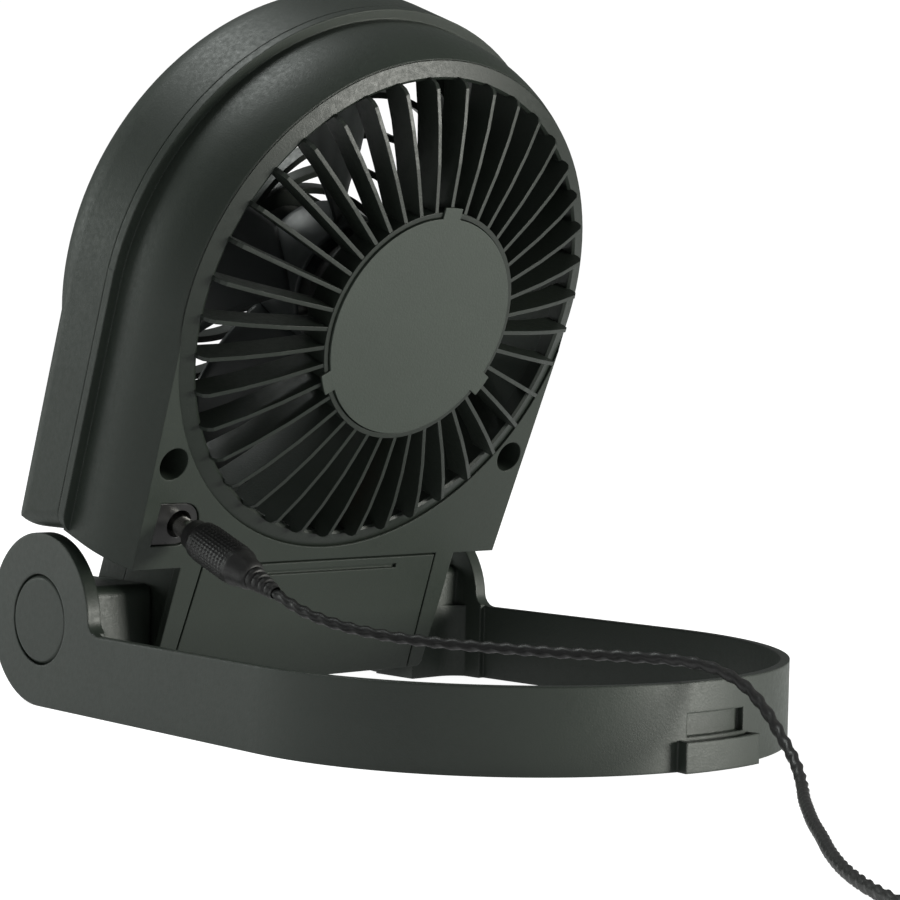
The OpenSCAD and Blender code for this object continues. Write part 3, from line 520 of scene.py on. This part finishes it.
# --- Materials ---
class Nodes:
    """Short calls for building a node material."""

    def __init__(self, name):
        self.material = bpy.data.materials.new(name)
        self.material.use_nodes = True
        self.tree = self.material.node_tree
        self.shader = self.tree.nodes["Principled BSDF"]
        self.place = self.add("ShaderNodeTexCoord").outputs["Object"]

    def add(self, kind, **settings):
        node = self.tree.nodes.new(kind)
        for key, value in settings.items():
            setattr(node, key, value)
        return node

    def link(self, a, b):
        self.tree.links.new(a, b)

    def set(self, **values):
        for key, value in values.items():
            self.shader.inputs[key.replace("_", " ")].default_value = value

    def stretched(self, scale):
        node = self.add("ShaderNodeMapping")
        self.link(self.place, node.inputs["Vector"])
        node.inputs["Scale"].default_value = scale
        return node.outputs["Vector"]

    def noise(self, size, detail=2.0, place=None, rough=0.5):
        """Noise whose features are about size millimetres across"""
        node = self.add("ShaderNodeTexNoise")
        self.link(place or self.place, node.inputs["Vector"])
        node.inputs["Scale"].default_value = 1 / (size * MM)
        node.inputs["Detail"].default_value = detail
        node.inputs["Roughness"].default_value = rough
        return node.outputs["Fac"]

    def cells(self, size):
        node = self.add("ShaderNodeTexVoronoi")
        self.link(self.place, node.inputs["Vector"])
        node.inputs["Scale"].default_value = 1 / (size * MM)
        return node.outputs["Distance"]

    def ramp(self, value, stops):
        node = self.add("ShaderNodeValToRGB")
        self.link(value, node.inputs["Fac"])
        elements = node.color_ramp.elements
        while len(elements) < len(stops):
            elements.new(0.5)
        for element, (at, colour) in zip(elements, stops):
            element.position = at
            element.color = (*colour, 1)
        return node.outputs["Color"]

    def span(self, value, low, high, start=0.0, end=1.0):
        node = self.add("ShaderNodeMapRange")
        self.link(value, node.inputs["Value"])
        node.inputs["From Min"].default_value = start
        node.inputs["From Max"].default_value = end
        node.inputs["To Min"].default_value = low
        node.inputs["To Max"].default_value = high
        return node.outputs["Result"]

    def mix(self, share, a, b):
        node = self.add("ShaderNodeMix", data_type="RGBA")
        for value, socket in ((share, 0), (a, 6), (b, 7)):
            if isinstance(value, (tuple, float)):
                node.inputs[socket].default_value = (*value, 1) if isinstance(value, tuple) else value
            else:
                self.link(value, node.inputs[socket])
        return node.outputs[2]

    def maths(self, operation, a, b):
        node = self.add("ShaderNodeMath", operation=operation)
        for value, socket in ((a, 0), (b, 1)):
            if isinstance(value, (int, float)):
                node.inputs[socket].default_value = value
            else:
                self.link(value, node.inputs[socket])
        return node.outputs[0]

    def bump(self, height, depth, normal=None):
        node = self.add("ShaderNodeBump")
        self.link(height, node.inputs["Height"])
        node.inputs["Distance"].default_value = depth * MM
        node.inputs["Strength"].default_value = 1.0
        if normal is not None:
            self.link(normal, node.inputs["Normal"])
        return node.outputs["Normal"]

    def rounded(self, radius):
        """The normal of the surface with its sharp edges rounded off"""
        node = self.add("ShaderNodeBevel", samples=4)
        node.inputs["Radius"].default_value = radius * MM
        return node.outputs["Normal"]

    def wear(self, normal):
        """1 on the rounded edges, 0 on the faces"""
        flat = self.add("ShaderNodeNewGeometry").outputs["Normal"]
        node = self.add("ShaderNodeVectorMath", operation="DOT_PRODUCT")
        self.link(normal, node.inputs[0])
        self.link(flat, node.inputs[1])
        return self.span(node.outputs["Value"], 0.9, 0.0, 0.86, 0.995)


def scaled(colour, by):
    return tuple(min(1.0, c * by) for c in colour)


def moulded(name, colour, rough=0.5, grain=0.45, depth=0.03, edge=0.35, specular=0.5):
    """Moulded plastic with a fine spark-eroded grain, faint blotches and slightly polished edges."""
    m = Nodes(name)
    blotches = m.noise(22, 3)
    base = m.mix(blotches, scaled(colour, 1 - BLOTCH), scaled(colour, 1 + BLOTCH))
    normal = m.rounded(edge)
    edges = m.wear(normal)
    scuffs = m.maths("MULTIPLY", edges, m.span(m.noise(3, 4), 0.0, EDGE_WEAR, 0.35, 0.7))
    m.link(m.mix(scuffs, base, scaled(colour, 2.2)), m.shader.inputs["Base Color"])
    uneven = m.span(m.noise(1.3, 3), rough - 0.05, rough + 0.07, 0.3, 0.7)
    m.link(m.maths("SUBTRACT", uneven, m.maths("MULTIPLY", edges, 0.08)), m.shader.inputs["Roughness"])
    fine = m.maths("MULTIPLY", m.noise(grain, 3, rough=0.7), 0.7)
    pits = m.maths("ADD", fine, m.maths("MULTIPLY", m.cells(grain * 1.3), 0.5))
    m.link(m.bump(pits, depth, normal), m.shader.inputs["Normal"])
    m.set(Specular_IOR_Level=specular)
    return m.material


def smooth_plastic(name, colour, rough=0.3):
    """Smoother plastic with flow marks and a trace of orange peel."""
    m = Nodes(name)
    base = m.mix(m.noise(15, 2), scaled(colour, 0.9), scaled(colour, 1.1))
    m.link(base, m.shader.inputs["Base Color"])
    m.link(m.span(m.noise(4, 4), rough - 0.06, rough + 0.08, 0.3, 0.7), m.shader.inputs["Roughness"])
    m.link(m.bump(m.noise(1.6, 2), 0.012, m.rounded(SOFT_EDGE)), m.shader.inputs["Normal"])
    return m.material


def metal(name, colour, rough=0.3, brushed=(1, 1, 12), depth=0.004):
    """Metal with fine drawn lines, uneven tone and soft edges."""
    m = Nodes(name)
    lines = m.noise(0.5, 4, place=m.stretched(brushed))
    tone = m.mix(m.noise(6, 4), scaled(colour, 0.86), scaled(colour, 1.06))
    m.link(m.mix(m.span(lines, 0.0, 0.3), tone, scaled(colour, 0.7)), m.shader.inputs["Base Color"])
    m.link(m.span(lines, rough - 0.07, rough + 0.12, 0.3, 0.7), m.shader.inputs["Roughness"])
    m.link(m.bump(lines, depth, m.rounded(METAL_EDGE)), m.shader.inputs["Normal"])
    m.set(Metallic=1.0)
    return m.material


def jacket(name, colour, rough=0.42):
    """Flexible vinyl over the lead's cores"""
    m = Nodes(name)
    base = m.mix(m.noise(5, 3), scaled(colour, 0.8), scaled(colour, 1.25))
    m.link(base, m.shader.inputs["Base Color"])
    m.link(m.span(m.noise(0.8, 3), rough - 0.06, rough + 0.1, 0.3, 0.7), m.shader.inputs["Roughness"])
    m.link(m.bump(m.noise(0.35, 3), 0.015, m.rounded(0.1)), m.shader.inputs["Normal"])
    return m.material


def windings(name, colour):
    m = Nodes(name)
    wave = m.add("ShaderNodeTexWave", wave_type="BANDS", bands_direction="X")
    m.link(m.place, wave.inputs["Vector"])
    wave.inputs["Scale"].default_value = 700
    wave.inputs["Distortion"].default_value = 0.8
    wires = m.mix(wave.outputs["Fac"], scaled(colour, 0.55), scaled(colour, 1.3))
    m.link(wires, m.shader.inputs["Base Color"])
    m.link(m.bump(wave.outputs["Fac"], 0.12), m.shader.inputs["Normal"])
    m.link(m.span(m.noise(2, 3), 0.22, 0.42), m.shader.inputs["Roughness"])
    m.set(Metallic=0.8)
    return m.material


def battery_jacket(name, facing):
    """A sleeve in two plain tones, over CELL_SPAN along the cell, with a bare metal end on its facing side"""
    m = Nodes(name)
    split = m.add("ShaderNodeSeparateXYZ")
    m.link(m.place, split.inputs[0])
    start, end = (0.0, 1.0) if facing > 0 else (1.0, 0.0)
    along = m.span(split.outputs["X"], start, end, CELL_SPAN[0] * MM, CELL_SPAN[1] * MM)
    tone = m.ramp(along, [
        (0.0, (0.02, 0.035, 0.03)), (0.66, (0.025, 0.04, 0.036)), (0.675, (0.5, 0.27, 0.09)),
        (0.96, (0.55, 0.3, 0.1)), (0.968, (0.6, 0.6, 0.58)),
    ])
    scratches = m.noise(1.2, 5, place=m.stretched((1, 6, 6)))
    rubbed = m.mix(m.span(scratches, 0.0, 0.25, 0.55, 0.8), tone, (0.5, 0.5, 0.5))
    m.link(rubbed, m.shader.inputs["Base Color"])
    m.link(m.span(scratches, 0.22, 0.4), m.shader.inputs["Roughness"])
    m.link(m.bump(scratches, 0.006, m.rounded(0.5)), m.shader.inputs["Normal"])
    m.set(Metallic=0.35)
    return m.material


def laminate(name):
    """A green board with faint copper tracks under its lacquer"""
    m = Nodes(name)
    tracks = m.add("ShaderNodeTexBrick")
    m.link(m.place, tracks.inputs["Vector"])
    tracks.inputs["Scale"].default_value = 260
    tracks.inputs["Color1"].default_value = (0.02, 0.12, 0.05, 1)
    tracks.inputs["Color2"].default_value = (0.03, 0.16, 0.06, 1)
    tracks.inputs["Mortar"].default_value = (0.09, 0.3, 0.1, 1)
    m.link(tracks.outputs["Color"], m.shader.inputs["Base Color"])
    m.link(m.bump(tracks.outputs["Fac"], 0.03, m.rounded(0.1)), m.shader.inputs["Normal"])
    m.link(m.span(m.noise(3, 3), 0.25, 0.4), m.shader.inputs["Roughness"])
    return m.material


CHARCOAL = (0.027, 0.035, 0.028)
case_plastic = moulded("case_plastic", CHARCOAL, rough=0.48, edge=0.6, specular=0.36)
grille_plastic = moulded(
    "grille_plastic", scaled(CHARCOAL, 0.7), rough=0.4, grain=0.4, edge=0.25, specular=0.4
)
plate_plastic = moulded("plate_plastic", scaled(CHARCOAL, 1.35), rough=0.5, grain=0.5, depth=0.045)
stand_plastic = moulded("stand_plastic", scaled(CHARCOAL, 1.05), rough=0.44, edge=0.8)
inner_plastic = moulded("inner_plastic", (0.03, 0.03, 0.03), rough=0.55)
adapter_plastic = moulded("adapter_plastic", (0.03, 0.03, 0.031), rough=0.4)
knob_plastic = moulded("knob_plastic", (0.09, 0.09, 0.09), rough=0.45)
plug_plastic = moulded("plug_plastic", (0.022, 0.022, 0.022), rough=0.4, grain=0.3, edge=0.12)
jack_plastic = smooth_plastic("jack_plastic", (0.02, 0.02, 0.02), rough=0.32)
cap_plastic = smooth_plastic("cap_plastic", (0.1, 0.105, 0.1), rough=0.35)
# The impeller's grey plastic is painted darker: painted shade for the dim inside of the duct, over the
# blades' own colour
blade_plastic_painted_shade = smooth_plastic("blade_plastic_painted_shade", (0.045, 0.05, 0.05), rough=0.36)
washer_plastic = smooth_plastic("washer_plastic", (0.7, 0.7, 0.65), rough=0.45)
bell_plastic = smooth_plastic("bell_plastic", (0.68, 0.67, 0.6), rough=0.45)
tie_plastic = smooth_plastic("tie_plastic", (0.02, 0.02, 0.02), rough=0.4)
carbon = moulded("carbon", (0.04, 0.04, 0.04), rough=0.6, grain=0.2)
steel = metal("steel", (0.58, 0.58, 0.57), 0.3)
motor_steel = metal("motor_steel", (0.55, 0.56, 0.57), 0.36, brushed=(14, 14, 1))
magnet = metal("magnet", (0.12, 0.12, 0.13), 0.5)
bronze = metal("bronze", (0.5, 0.34, 0.16), 0.42)
nickel = metal("nickel", (0.74, 0.73, 0.7), 0.16, depth=0.002)
lead_jacket = jacket("lead_jacket", (0.022, 0.022, 0.022))
red_jacket = jacket("red_jacket", (0.45, 0.02, 0.015), 0.35)
black_jacket = jacket("black_jacket", (0.015, 0.015, 0.015), 0.35)
copper = windings("copper", (0.6, 0.26, 0.1))
board_laminate = laminate("board_laminate")
cell_right = battery_jacket("cell_right", 1)
cell_left = battery_jacket("cell_left", -1)

FINISHES = {
    "front_shell": case_plastic, "rear_shell": case_plastic, "battery_door": case_plastic,
    "rear_hub_plate": plate_plastic, "front_grille": grille_plastic, "rear_grille": grille_plastic,
    "front_grille_cap": cap_plastic, "stand_loop": stand_plastic, "pivot_cap_left": stand_plastic,
    "pivot_cap_right": stand_plastic, "battery_tray": inner_plastic, "motor_bracket": inner_plastic,
    "switch_body": inner_plastic, "switch_knob": knob_plastic, "jack_housing": jack_plastic,
    "friction_washer_left": washer_plastic, "friction_washer_right": washer_plastic,
    "motor_end_bell": bell_plastic, "pivot_pin_left": steel, "pivot_pin_right": steel, "case_screws": steel,
    "hub_screws": steel, "motor_screws": steel, "motor_shaft": steel, "motor_can": motor_steel,
    "motor_magnets": magnet, "motor_bush_front": bronze, "motor_bush_rear": bronze, "armature": copper,
    "commutator": copper, "motor_brushes": carbon, "battery_1": cell_right, "battery_2": cell_left,
    "battery_3": cell_right, "battery_4": cell_left, "battery_springs": nickel, "battery_contacts": nickel,
    "jack_pin": nickel, "jack_spring": nickel, "plug_barrel": nickel, "adapter_blades": nickel,
    "circuit_board": board_laminate, "wire_red": red_jacket, "wire_black": black_jacket,
    "cord_tie": tie_plastic,
}
PIECE_FINISHES = {
    power_lead: lead_jacket, plug_relief: lead_jacket, adapter_gland: lead_jacket, plug_grip: plug_plastic,
    plug_liner: jack_plastic, adapter_case: adapter_plastic, impeller_blades: blade_plastic_painted_shade,
    impeller_hub: blade_plastic_painted_shade,
}


def finish_with(obj, material):
    obj.data.materials.clear()
    obj.data.materials.append(material)


for node_name, material in FINISHES.items():
    finish_with(nodes[node_name], material)
for piece, material in PIECE_FINISHES.items():
    finish_with(piece, material)


# --- Floor and light ---
def make_floor():
    """A white table top that looks brighter than it lights the fan"""
    corners = [(x * FLOOR_HALF, y * FLOOR_HALF, 0) for x, y in ((-1, -1), (1, -1), (1, 1), (-1, 1))]
    floor = new_object("floor", corners, [(0, 1, 2, 3)])
    m = Nodes("floor_paper")
    m.link(m.mix(m.noise(60, 2), (0.55, 0.55, 0.55), (0.58, 0.58, 0.58)), m.shader.inputs["Base Color"])
    m.set(Roughness=0.9, Specular_IOR_Level=0.0, Emission_Color=(1, 1, 1, 1))
    seen = m.add("ShaderNodeLightPath").outputs["Is Camera Ray"]
    m.link(m.span(seen, *FLOOR_GLOW), m.shader.inputs["Emission Strength"])
    finish_with(floor, m.material)


def make_light(name, at, aim, size, power, colour):
    data = bpy.data.lights.new(name, "AREA")
    data.shape = "RECTANGLE"
    data.size, data.size_y = size
    data.energy = power
    data.color = colour
    light = bpy.data.objects.new(name, data)
    bpy.context.scene.collection.objects.link(light)
    light.location = at
    light.rotation_euler = (Vector(aim) - Vector(at)).to_track_quat("-Z", "Y").to_euler()


def make_world():
    """A background that is white to look at and dim as a light"""
    world = bpy.data.worlds.new("studio")
    bpy.context.scene.world = world
    world.use_nodes = True
    tree = world.node_tree
    background = tree.nodes["Background"]
    background.inputs["Color"].default_value = (1, 1, 1, 1)
    path = tree.nodes.new("ShaderNodeLightPath")
    level = tree.nodes.new("ShaderNodeMapRange")
    tree.links.new(path.outputs["Is Camera Ray"], level.inputs["Value"])
    level.inputs["To Min"].default_value, level.inputs["To Max"].default_value = WORLD_GLOW
    tree.links.new(level.outputs["Result"], background.inputs["Strength"])
    bpy.context.scene.view_settings.view_transform = "Standard"


make_floor()
make_world()
make_light("left", (0.7, -1.15, 0.35), (0.03, -0.04, 0.06), (0.6, 0.5), 3.4, (0.94, 1.0, 0.95))
make_light("right", (-0.6, 1.05, 0.05), (0, 0.02, 0.1), (0.5, 0.4), 20, (1.0, 1.0, 0.93))
make_light("top", (0.2, -0.5, 1.2), (0, 0, 0.1), (0.5, 0.5), 7, (0.95, 1.0, 0.97))
